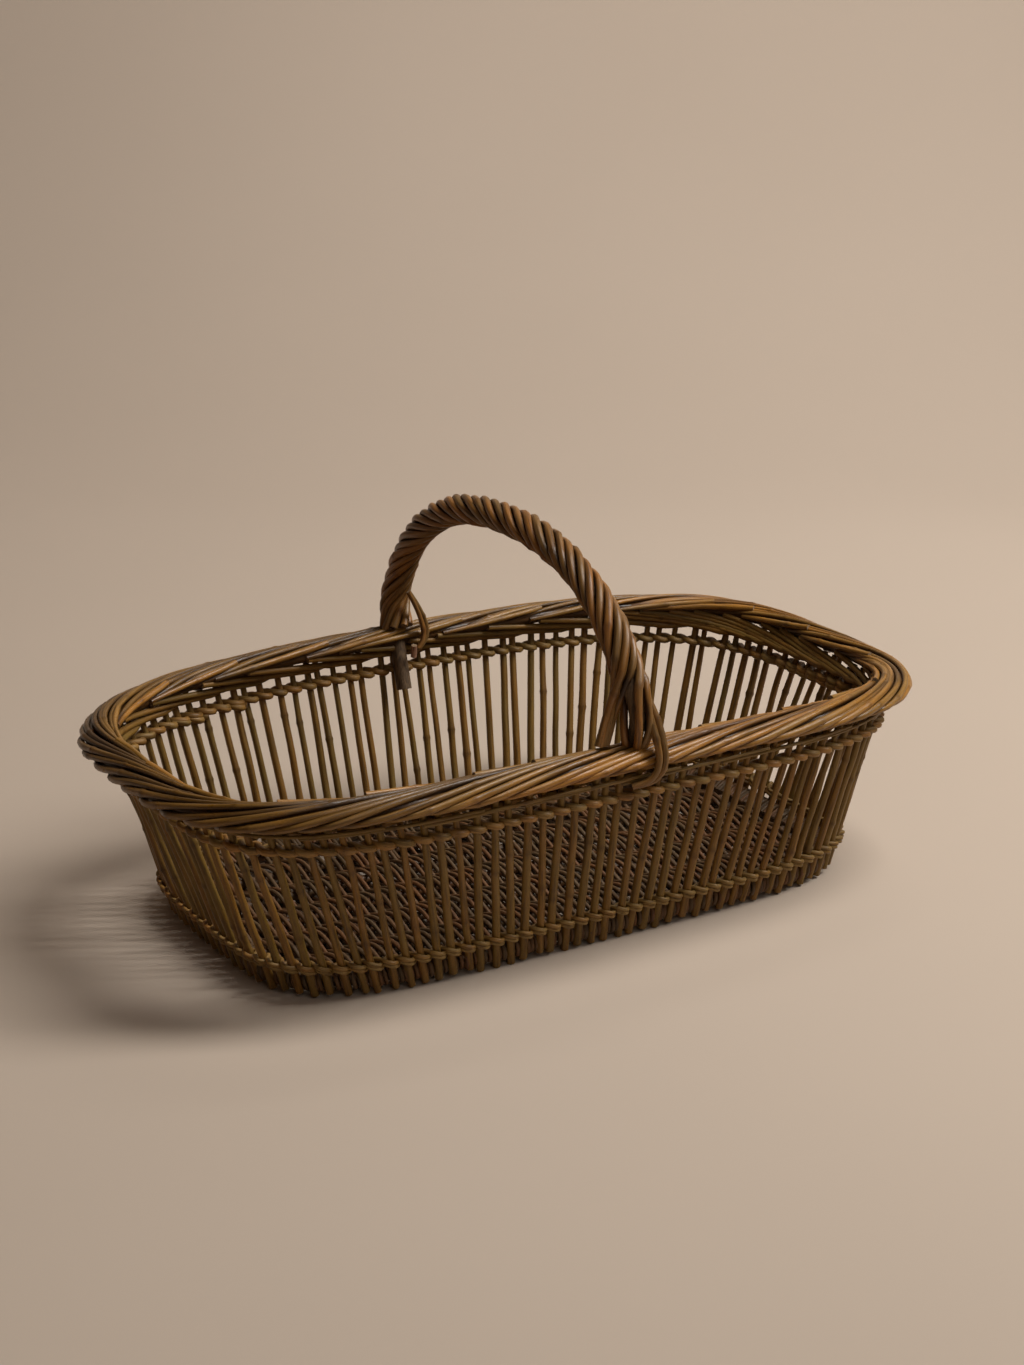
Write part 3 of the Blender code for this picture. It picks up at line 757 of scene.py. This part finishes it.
# %% The rods hidden in the middle of the roll
HEART = ((-0.0058, 0.0022, 0.0052), (0.0056, 0.0020, 0.0054), (0.0, -0.0012, 0.0036))
HEART_STEPS = 180
HEART_TONE = 0.05
for out, up, thick in HEART:
    line = []
    for share in parts(HEART_STEPS):
        place = border_ring.at(share) + border_ring.outward(share) * out
        place.z = BORDER + dip(place.x, 1) + up
        line.append(tuple(place))
    border_rods.append(willow_rod(line, butt=thick, tip=thick, step=0.012, tone=HEART_TONE))
border = grow("rolled_border", border_rods)

# %% Painted shade and dust in the border's grooves
DEPTH_SHARES = 900
DEPTH_BATCH = 4000


def roll_depth(points):
    """How far out each point lies in the roll's section: 0 in its middle, 1 at the egg's outside."""
    shares = np.arange(DEPTH_SHARES) / DEPTH_SHARES
    middle = np.array([tuple(border_ring.at(share)) for share in shares])
    outward = np.array([tuple(border_ring.outward(share)) for share in shares])
    depth = np.zeros(len(points))
    for first in range(0, len(points), DEPTH_BATCH):
        some = points[first:first + DEPTH_BATCH]
        apart = some[:, None, :2] - middle[None, :, :2]
        near = np.argmin((apart ** 2).sum(axis=2), axis=1)
        out = (apart[np.arange(len(some)), near] * outward[near, :2]).sum(axis=1)
        up = some[:, 2] - BORDER + RIM_DIP * (middle[near, 0] / border_ring.half_length) ** 2
        reach_up = np.where(up > 0, ROLL_UP, ROLL_DROP)
        depth[first:first + DEPTH_BATCH] = np.hypot(out / ROLL_ACROSS, up / reach_up)
    return depth


paint_groove_shade_and_dust(border.data, roll_depth(mesh_points(border.data)), hollow=0.765, top=0.920)
finish_piece(border, border_bark, "border_bark", "border")

# %% [markdown]
# ## The rods under the border
# Inside the basket, between the stakes and the roll, more rods lie aslant and close the border
# from below. They could be left out, but light would show where the real basket is dark. Thin
# slits of light are left between them, where a stake doesn't stand behind. Outside, thinner ones
# run along under the border's edge, each behind the next.

# %% Slanting rods inside
SLANTING = 34
SLANT_STEPS = 12
TOP_LEAN_SHARE = 0.004
CLOSE_RING_SHARES = (-0.03, 0.17)
SLANT_RADIUS, CLOSE_RADIUS = 0.0027, 0.0029
SLANT_REACH, CLOSE_REACH = 7.2, 8.8
SLANT_START_HEIGHT = 0.1412
SLANT_START_IN = 0.0020
SLANT_LOW_HEIGHT = 0.1392
SLANT_AFTER_START = 1.3
SLANT_CLEAR = 0.0002
SLANT_SUNK = 0.0026
SLANT_SAG = 0.0010


def under_rod(number):
    """It slants from the stakes up to the roll's inner edge, past as many stakes as its reach says.
    At the right end the rods are thicker and reach further, so they lie closer."""
    first = (number + stray(0.1)) * STAKES / SLANTING
    share = first / STAKES
    close = CLOSE_RING_SHARES[0] < share < CLOSE_RING_SHARES[1]
    reach = CLOSE_REACH if close else SLANT_REACH
    thick = about(CLOSE_RADIUS if close else SLANT_RADIUS, low=0.94, high=1.06)
    guides = [wall_point(share, share - TOP_LEAN_SHARE, SLANT_START_HEIGHT, -SLANT_START_IN)]
    for part in parts(SLANT_STEPS):
        share = (first + SLANT_AFTER_START + reach * part) / STAKES
        low = wall_point(share, share - TOP_LEAN_SHARE, SLANT_LOW_HEIGHT,
                         -(STAKE_RADIUS + thick + SLANT_CLEAR))
        point = low.lerp(roll_point(share, INNER_EDGE, thick, -SLANT_SUNK), part)
        point.z -= SLANT_SAG * math.sin(math.pi * part)
        guides.append(point)
    return willow_rod(smooth_line(guides, step=0.01), butt=thick, tip=thick * 0.85, buds=1,
                      bend=0.0003, step=0.010, tone=luck.uniform(0.3, 1.0))


under_rods = [under_rod(number) for number in range(SLANTING)]

# %% Long rods outside
LONG = 20
LONG_RADIUS = 0.0017
FRONT_REACH = 9.5
BACK_REACH = 5.0
LONG_HEIGHT = 0.1386
LONG_RISE = 0.0042


def outer_rod(number):
    """Along the front they lie close under the edge; along the back they leave slits of light."""
    first = number * STAKES / LONG + stray(0.5)
    reach = FRONT_REACH if first > STAKES / 2 else BACK_REACH
    thick = about(LONG_RADIUS, low=0.85, high=1.10)
    guides = []
    for part in parts(SLANT_STEPS):
        share = (first + reach * part) / STAKES
        guides.append(wall_point(share, share - TOP_LEAN_SHARE, LONG_HEIGHT + LONG_RISE * part,
                                 STAKE_RADIUS + thick * (0.5 + 0.9 * part)))
    return willow_rod(smooth_line(guides, step=0.01), butt=thick, tip=thick * 0.75, buds=1,
                      bend=0.0006, step=0.010, tone=luck.uniform(0.0, 0.3))


under_rods += [outer_rod(number) for number in range(LONG)]

# %% Four more slanting rods at the right end, and the piece
MORE_SLANTING = (-1.5, -0.5, 0.5, 1.5)
under_rods += [under_rod(number) for number in MORE_SLANTING]
finish_piece(grow("under_border_rods", under_rods), stake_bark, "row_bark", "wale_outer", "wale_inner")

# %% [markdown]
# ## The base
# Five sticks run the length of the base inside a hoop. Over a hundred thin weavers cross them,
# over one and under the next, and each is the other way round from its neighbour. Their ends turn
# down round the hoop, and show between the feet of the stakes. A flat sheet with a woven picture
# would look right from far off only, so every weaver is a rod with its own height at each stick.

# %% The hoop, and the weavers' ends turned round it
BASE = 0.0082
HOOP_IN = 0.0094
HOOP_RADIUS = 0.0036
HOOP_STEPS = 240
ENDS_PER_STAKE = 3
END_SHIFT = 0.17
END_RADIUS = 0.0017
END_PULLS = (-0.0012, 0.0004)
END_SLANT_SHARE = 0.0003
END_TURN = ((-0.0150, 0.0128), (-0.0105, 0.0160), (-0.0050, 0.0174), (-0.0006, 0.0160),
            (0.0008, 0.0110), (0.0004, 0.0072), (-0.0030, 0.0050))


def foot_ring_point(share, out, height):
    place = wall_point(share, share, height, out)
    place.z = height
    return place


def turned_end(number):
    """From the base's top over the hoop and down outside it; each point has its way out and height."""
    share = (number / ENDS_PER_STAKE + END_SHIFT + stray(0.06)) / STAKES
    pull = luck.uniform(*END_PULLS)
    guides = [foot_ring_point(share + END_SLANT_SHARE * order, out + pull, height)
              for order, (out, height) in enumerate(END_TURN)]
    thick = about(END_RADIUS, low=0.88, high=1.12)
    return willow_rod(smooth_line(guides, step=0.01), butt=thick, tip=thick, step=0.0050)


hoop_line = [tuple(foot_ring_point(share, -HOOP_IN, BASE)) for share in parts(HOOP_STEPS)]
rods = [willow_rod(hoop_line, butt=HOOP_RADIUS, tip=HOOP_RADIUS, step=0.008)]
rods += [turned_end(number) for number in range(ENDS_PER_STAKE * STAKES)]
finish_piece(grow("bound_hoop", rods, sides=6), base_bark, "base_bark", "base_hoop")

# %% How far the room inside the hoop reaches
ROOM_STEPS = 480
NEAR = 0.0025
STICK_INSET = 0.0060
WEAVER_INSET = 0.0040


def room_line(inset):
    return np.array([tuple(foot_ring_point(share, -inset, BASE)) for share in parts(ROOM_STEPS)[:-1]])


def room_reach(room, place, axis):
    """How far the room reaches along one axis, at a place on the other."""
    near = room[np.abs(room[:, 1 - axis] - abs(place)) < NEAR]
    return float(np.abs(near[:, axis]).max()) if len(near) else 0.0


stick_room = room_line(HOOP_IN + STICK_INSET)
weaver_room = room_line(HOOP_IN + WEAVER_INSET)
print(f"room for the middle stick: {room_reach(stick_room, 0, 0) * 2:.3f} m")

# %% The sticks
STICKS = 5
STICK_RADIUS = 0.0036
STICK_TIP_RADIUS = 0.0034
STICK_BOW = 0.0005
spacing = max(point[1] for point in hoop_line) / 3
stick_places = [spacing * (number - 2) for number in range(STICKS)]
rods = []
for place in stick_places:
    reach = room_reach(stick_room, place, 0)
    line = [(-reach, place, BASE), (-reach / 3, place + STICK_BOW, BASE),
            (reach / 3, place - STICK_BOW, BASE), (reach, place, BASE)]
    rods.append(willow_rod(smooth_line(line, step=0.02), STICK_RADIUS, STICK_TIP_RADIUS, buds=6,
                           bend=0.0003, step=0.02))
sticks = grow("base_sticks", rods)
finish_piece(sticks, base_bark, "base_bark", *[f"base_stick_{number}" for number in range(1, STICKS + 1)])
print(f"sticks stand {spacing * 1000:.1f} mm apart")

# %% One weaver
WEAVERS = 135
WEAVER_RADIUS = 0.00188
WEAVER_SKEW = 0.0006
END_WEAVER_INSET = 0.0106
STICK_CLEAR = 0.005
LOWEST_FALL_SHARE = -0.7
span = max(point[0] for point in hoop_line) - END_WEAVER_INSET


def weaver(number):
    """It goes over one stick and under the next, and falls towards the hoop past the last one."""
    x = -span + 2 * span * (number + 0.5) / WEAVERS
    edge = room_reach(weaver_room, x, 1)
    thick = about(WEAVER_RADIUS, low=0.88, high=1.06)
    lift = STICK_RADIUS + thick
    skew = stray(WEAVER_SKEW)
    crossings = []
    for order, place in enumerate(stick_places):
        if abs(place) < edge - STICK_CLEAR:
            side = 1 if (order + number) % 2 == 0 else -1
            crossings.append((order, place, side))
    guides = [(x + skew * order, place, BASE + side * lift) for order, place, side in crossings]
    fall = max(1 - (edge - abs(crossings[0][1])) / spacing * 2, LOWEST_FALL_SHARE)
    guides.insert(0, (x, -edge, BASE + crossings[0][2] * lift * fall))
    guides.append((x + skew * STICKS, edge, BASE + crossings[-1][2] * lift * fall))
    return willow_rod(smooth_line(guides, step=0.006), butt=thick, tip=thick * 0.94, buds=2,
                      bend=0.0004, step=0.0065)


# %% The weaving, with painted shade and dust in its low places
WEAVER_NODES = [f"base_weaver_{number}" for number in range(1, 10)]
weaving = grow("base_weaving", [weaver(number) for number in range(WEAVERS)], sides=6)
paint_groove_shade_and_dust(weaving.data, mesh_points(weaving.data)[:, 2], hollow=0.0030, top=0.0115)
finish_piece(weaving, base_bark, "base_bark", *WEAVER_NODES)

# %% [markdown]
# ## The handle
# A stout rod is bent over the basket as a bow, and both its ends go down through the border.
# Eight rods turn round it, side by side, from the back foot to the front one. The path of the
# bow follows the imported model's, and each rod is a helix round that path. A modifier could
# twist straight rods round the bow, but it can't let them come loose near the front foot.

# %% The bow's path
BOW_HALF_SPAN = 0.1743
BOW_RISE = 0.1369
BOW_SQUARENESS = 2.22
BOW_STEPS = 14
LEG_IN = 0.0151
LEG_HEIGHTS = (0.1145, UPPER_ROW, 0.1405)
FOOT_TOP = 0.0335
PACKED_RISE = 0.1375
LEAN = 0.0058
LEAN_FROM = 0.2065
LEAN_HEIGHT = 0.0660


def foot_lean(height):
    """The back foot stands a little to the left of the bow, and the front foot to its right."""
    return LEAN * clamp((LEAN_FROM - height) / LEAN_HEIGHT)


def bow_point(turn):
    power = 2 / BOW_SQUARENESS
    return (0.0, BOW_HALF_SPAN * math.copysign(abs(math.cos(turn)) ** power, math.cos(turn)),
            BORDER + BOW_RISE * abs(math.sin(turn)) ** power)


leg = [(0.0, wall_point(0.25, 0.25, height, -LEG_IN).y, height) for height in LEG_HEIGHTS]
first_turn = math.asin((FOOT_TOP / PACKED_RISE) ** (BOW_SQUARENESS / 2))
print(f"the bow starts at {math.degrees(first_turn):.1f} degrees")

# %% The bow
CORE_RADIUS = 0.0061
CORE_TIP_RADIUS = 0.0057
bow_turns = [first_turn + (math.pi - 2 * first_turn) * step / BOW_STEPS for step in range(BOW_STEPS + 1)]
bow = [bow_point(turn) for turn in bow_turns]
between = tuple((np.array(leg[-1]) + np.array(bow[0])) / 2)
back_leg = leg + [between]
front_leg = [(0.0, -y, height) for _, y, height in reversed(back_leg)]
bow_line = smooth_line(back_leg + bow + front_leg, step=0.004)
bow_line[:, 0] = [math.copysign(foot_lean(height), -y) for _, y, height in bow_line]
core_rod = willow_rod(bow_line, CORE_RADIUS, CORE_TIP_RADIUS, buds=4, bend=0.0003, step=0.009)
core = grow("handle_bow", [core_rod], sides=12)
finish_piece(core, core_wood, "core_wood", "handle_core")

# %% A helix round the bow
TURNED_RODS = 8
TURNS_FROM = 0.1600
LEAD = 0.112
AHEAD = 0.004
turned = bow_line[bow_line[:, 2] > TURNS_FROM]
turned_along = run_along(turned)
TURNED = turned_along[-1]
print(f"the rods turn {TURNED / LEAD:.1f} times round {TURNED:.3f} m of the bow")


def handle_point(distance, turn, reach):
    """A point at a reach from the bow's middle, turned round it from its outer side."""
    places = (distance, max(distance - AHEAD, 0), min(distance + AHEAD, TURNED))
    centre, low, high = read_line(places, turned_along, turned)
    ahead = (high - low) / np.linalg.norm(high - low)
    side = np.array((-1.0, 0.0, 0.0))
    return centre + (np.cross(side, ahead) * math.cos(turn) + side * math.sin(turn)) * reach


# %% How the rods end at the front foot
LEFT_BELOW = -0.0045
LEFT_ROUTE = ((-0.0126, -0.1606, 0.1880), (-0.0172, -0.1622, 0.1774), (-0.0228, -0.1642, 0.1645))
LEFT_APART = 0.0032
FOOT_STOPS = ((0.1760, 0.35, 0.0094), (0.1580, 0.60, 0.0086))
FRONT_WAY = math.radians(-110)


def left_end(end, number):
    """Three rods leave the bow to the left, side by side, and go down to the border."""
    aside = (number % 3 - 1) * LEFT_APART
    return [end] + [(x + aside, y, height) for x, y, height in LEFT_ROUTE]


def foot_end(end):
    """The others go down round the foot, each stop drawing them nearer to its front."""
    guides = [end]
    foot = bow_line[::-1][:40]
    for height, in_front, reach in FOOT_STOPS:
        middle = foot[np.argmin(np.abs(foot[:, 2] - height))]
        turn = math.atan2(end[1] - middle[1], end[0] - middle[0])
        turn += ((FRONT_WAY - turn + math.pi) % math.tau - math.pi) * in_front
        guides.append((middle[0] + reach * math.cos(turn), middle[1] + reach * math.sin(turn), height))
    return guides


# %% The eight turned rods
TURNED_RADIUS = 0.0031
TURNED_REACH = 0.0088
TURNED_STEPS = 90
LOOSE = 0.110
LOOSE_LAG = 0.014
LOOSE_REACH = 0.0022
START_REACH = 0.0024
START_LENGTH = 0.010
REACH_RIPPLE = 0.0005
STOP_BEFORE = 0.040


def turned_rod(number):
    """Near the front foot the rods lie looser, and at the back foot they start wider."""
    thick = about(TURNED_RADIUS, low=0.86, high=1.10)
    sway = luck.uniform(*PHASES)
    line = []
    for step in range(TURNED_STEPS + 1):
        distance = (TURNED - STOP_BEFORE) * step / TURNED_STEPS
        loose = max(0.0, distance - (TURNED - LOOSE)) / LOOSE
        turn = math.tau * ((distance - LOOSE_LAG * loose ** 2) / LEAD + number / TURNED_RODS)
        turn += 0.07 * math.sin(distance * 70 + sway) + 0.05 * math.sin(distance * 31 + number)
        reach = TURNED_REACH + REACH_RIPPLE * math.sin(distance * 47 + sway) + LOOSE_REACH * loose
        reach += START_REACH * math.exp(-distance / START_LENGTH)
        line.append(tuple(handle_point(distance, turn, reach)))
    if line[-1][0] < LEFT_BELOW:
        del line[-3:]
        guides = left_end(line[-1], number)
    else:
        guides = foot_end(line[-1])
    line += smooth_line(guides, step=0.004)[1:].tolist()
    return willow_rod(line, butt=thick, tip=thick * 0.95, buds=4, bend=0.0002, step=0.0062)


handle = grow("handle_rods", [turned_rod(number) for number in range(TURNED_RODS)], sides=10)
# The turned rods get painted shade and dust on their sides towards the bow.
apart = mesh_points(handle.data)[:, None] - bow_line[None, ::2]
paint_groove_shade_and_dust(handle.data, np.sqrt((apart ** 2).sum(axis=2)).min(axis=1), hollow=0.0090, top=0.0116)
wraps = [f"handle_wrap_{number}" for number in range(1, TURNED_RODS + 1)]
finish_piece(handle, handle_bark, "handle_bark", *wraps)

# %% [markdown]
# ## What ties the handle down
# At the front foot two rods leave the handle, cross the border and tuck in under its outer edge.
# At the back two thinner rods loop down over the inner edge, and a short cut peg holds the foot.
# No formula fits such a knot, so each loop's route is a few points, chosen in the views.

# %% The loops
FRONT_ROUTE = ((0.0052, 0.5, -0.1640, 0.2060), (0.0080, 0.7, -0.1720, 0.1930), (0.0098, 1, -0.1790, 0.1780),
               (0.0106, 1, -0.1838, 0.1660), (0.0108, 1, -0.1862, 0.1560), (0.0090, 1, -0.1862, 0.1470),
               (0.0030, 1, -0.1838, 0.1395), (-0.0070, 1, -0.1790, 0.1360))
BACK_ROUTE = ((0.0004, 0, 0.1525, 0.1945), (0.0057, 0.6, 0.1500, 0.1820), (0.0095, 1, 0.1485, 0.1700),
              (0.0113, 1, 0.1478, 0.1598), (0.0095, 0.6, 0.1472, 0.1528), (0.0060, 0.2, 0.1475, 0.1480))


def loop_rods(name, route, apart, thick):
    """Two rods on one route. Each point has its x, its share of the gap between them, its y and z."""
    rods = []
    for aside in (0.0, apart):
        path = [(x + aside * share, y, z) for x, share, y, z in route]
        rods.append(willow_rod(smooth_line(path, step=0.004), butt=thick, tip=thick * 0.9, buds=1,
                               bend=0.0002, step=0.004))
    return grow(name, rods, sides=10)


front_loop = loop_rods("front_loop", FRONT_ROUTE, apart=0.0050, thick=0.0027)
finish_piece(front_loop, handle_bark, "handle_bark", "front_lashing_1", "front_lashing_2")
back_loop = loop_rods("back_loop", BACK_ROUTE, apart=0.0032, thick=0.0022)
finish_piece(back_loop, handle_bark, "handle_bark", "back_lashing_1", "back_lashing_2")

# %% The peg
PEG_LINE = ((0.0010, 0.1462, 0.1418), (0.0006, 0.1444, 0.1518))
peg = grow("foot_peg", [willow_rod(PEG_LINE, butt=0.0026, tip=0.0024, step=0.004)], sides=10)
finish_piece(peg, peg_wood, "core_wood", "handle_peg")

# %% [markdown]
# ## The floor and the light
# The basket stands on a plain warm paper sweep that curves up behind it, as in a photo studio.
# It is a plane whose far edge is drawn up into a wall, with a wide bevel round the corner. A
# plain floor and wall would show a line where they meet. One tall, narrow soft lamp stands high
# up at the right, so the shade falls to the left and shows each stake as a ray. A broad weak
# lamp fills the front, another lights only the paper behind, and a weak even light from all
# round does the rest.

# %% The paper's material
def paper_material():
    material, tree, shader = new_material("warm_paper")
    shader.inputs["Roughness"].default_value = 0.9
    shader.inputs["Specular IOR Level"].default_value = 0.2
    place = add_node(tree, "ShaderNodeTexCoord").outputs["Object"]
    soft = noise_of(tree, place, (1, 1, 1), scale=1.2, detail=2.0)
    colour = blend(tree, "MIX", spread(tree, soft, 0.3, 0.7), (0.500, 0.408, 0.328, 1.0),
                   (0.520, 0.426, 0.344, 1.0))
    wire(tree, colour, shader.inputs["Base Color"])
    return material


# %% The paper sweep
AZIMUTH = math.radians(-31.4451)
ELEVATION = math.radians(18.2435)
PAPER = 9
PAPER_RISE = 6
PAPER_FORWARD = 1.7
SWEEP = 1.6
bpy.ops.object.select_all(action="DESELECT")
bpy.ops.mesh.primitive_plane_add(size=PAPER, location=(0, 0, 0))
paper = bpy.context.object
paper.name = "paper_sweep"
bpy.ops.object.mode_set(mode="EDIT")
bpy.ops.mesh.select_mode(type="EDGE")
bpy.ops.object.mode_set(mode="OBJECT")
for edge in paper.data.edges:
    edge.select = min(paper.data.vertices[place].co.y for place in edge.vertices) > 0
bpy.ops.object.mode_set(mode="EDIT")
bpy.ops.mesh.extrude_region_move(TRANSFORM_OT_translate={"value": (0, 0, PAPER_RISE)})
bpy.ops.object.mode_set(mode="OBJECT")
corner = paper.modifiers.new("sweep", "BEVEL")
corner.width = SWEEP
corner.segments = 24
bpy.ops.object.modifier_apply(modifier="sweep")
bpy.ops.object.shade_smooth()
print(f"paper sweep: {len(paper.data.polygons)} faces")

# %% Turn the paper to face the camera
for vertex in paper.data.vertices:
    x, y = vertex.co.x, vertex.co.y - PAPER_FORWARD
    vertex.co.x = x * math.cos(AZIMUTH) - y * math.sin(AZIMUTH)
    vertex.co.y = x * math.sin(AZIMUTH) + y * math.cos(AZIMUTH)
paper.data.materials.append(paper_material())

# %% The lamps
BASKET_MIDDLE = (0, 0, 0.1)
PAPER_BEHIND = (1.52, 2.20, 0.8)


def area_lamp(name, power, wide, tall, azimuth, elevation, distance, aim, colour):
    """Azimuth is counted in degrees to the right of the camera, and elevation in degrees up."""
    turn, rise = AZIMUTH + math.radians(azimuth), math.radians(elevation)
    back_way = Vector((math.sin(turn) * math.cos(rise), -math.cos(turn) * math.cos(rise), math.sin(rise)))
    bpy.ops.object.light_add(type="AREA", location=Vector(aim) + back_way * distance)
    lamp = bpy.context.object
    lamp.name = name
    lamp.data.shape = "RECTANGLE"
    lamp.data.energy = power
    lamp.data.size = wide
    lamp.data.size_y = tall
    lamp.data.color = colour
    lamp.rotation_euler = back_way.to_track_quat("Z", "Y").to_euler()
    print(f"{name}: {power} W, {wide} by {tall} m, {distance} m away")


area_lamp("soft_key", 76, wide=0.7, tall=2.2, azimuth=92, elevation=57, distance=2.6,
          aim=BASKET_MIDDLE, colour=(1.0, 0.985, 0.955))
area_lamp("front_fill", 7, wide=1.8, tall=1.8, azimuth=25, elevation=40, distance=2.8,
          aim=BASKET_MIDDLE, colour=(1.0, 0.985, 0.96))
area_lamp("paper_wash", 17, wide=1.2, tall=1.2, azimuth=20, elevation=40, distance=2.0,
          aim=PAPER_BEHIND, colour=(1.0, 0.985, 0.96))

# %% The even light from all round
world = bpy.data.worlds.new("studio")
world.use_nodes = True
even_light = world.node_tree.nodes["Background"].inputs
even_light["Color"].default_value = (1.0, 0.985, 0.965, 1.0)
even_light["Strength"].default_value = 0.11
bpy.context.scene.world = world

# %% [markdown]
# ## The camera
# The camera was fitted to the photo before anything was built: it stands at the left of the
# front, looks down by 18 degrees, and has a long lens, so far and near rods differ little.

# %% The camera and the view
CAMERA_PLACE = (-0.9607, -1.5775, 0.7700)
LENS = 68.12
bpy.ops.object.camera_add(location=CAMERA_PLACE, rotation=(math.pi / 2 - ELEVATION, 0, AZIMUTH))
camera = bpy.context.object
camera.data.sensor_fit = "VERTICAL"
camera.data.sensor_height = 36
camera.data.lens = LENS
bpy.context.scene.camera = camera
bpy.context.scene.view_settings.view_transform = "Standard"
print(f"camera: {Vector(CAMERA_PLACE).length:.2f} m from the basket, {LENS} mm lens")
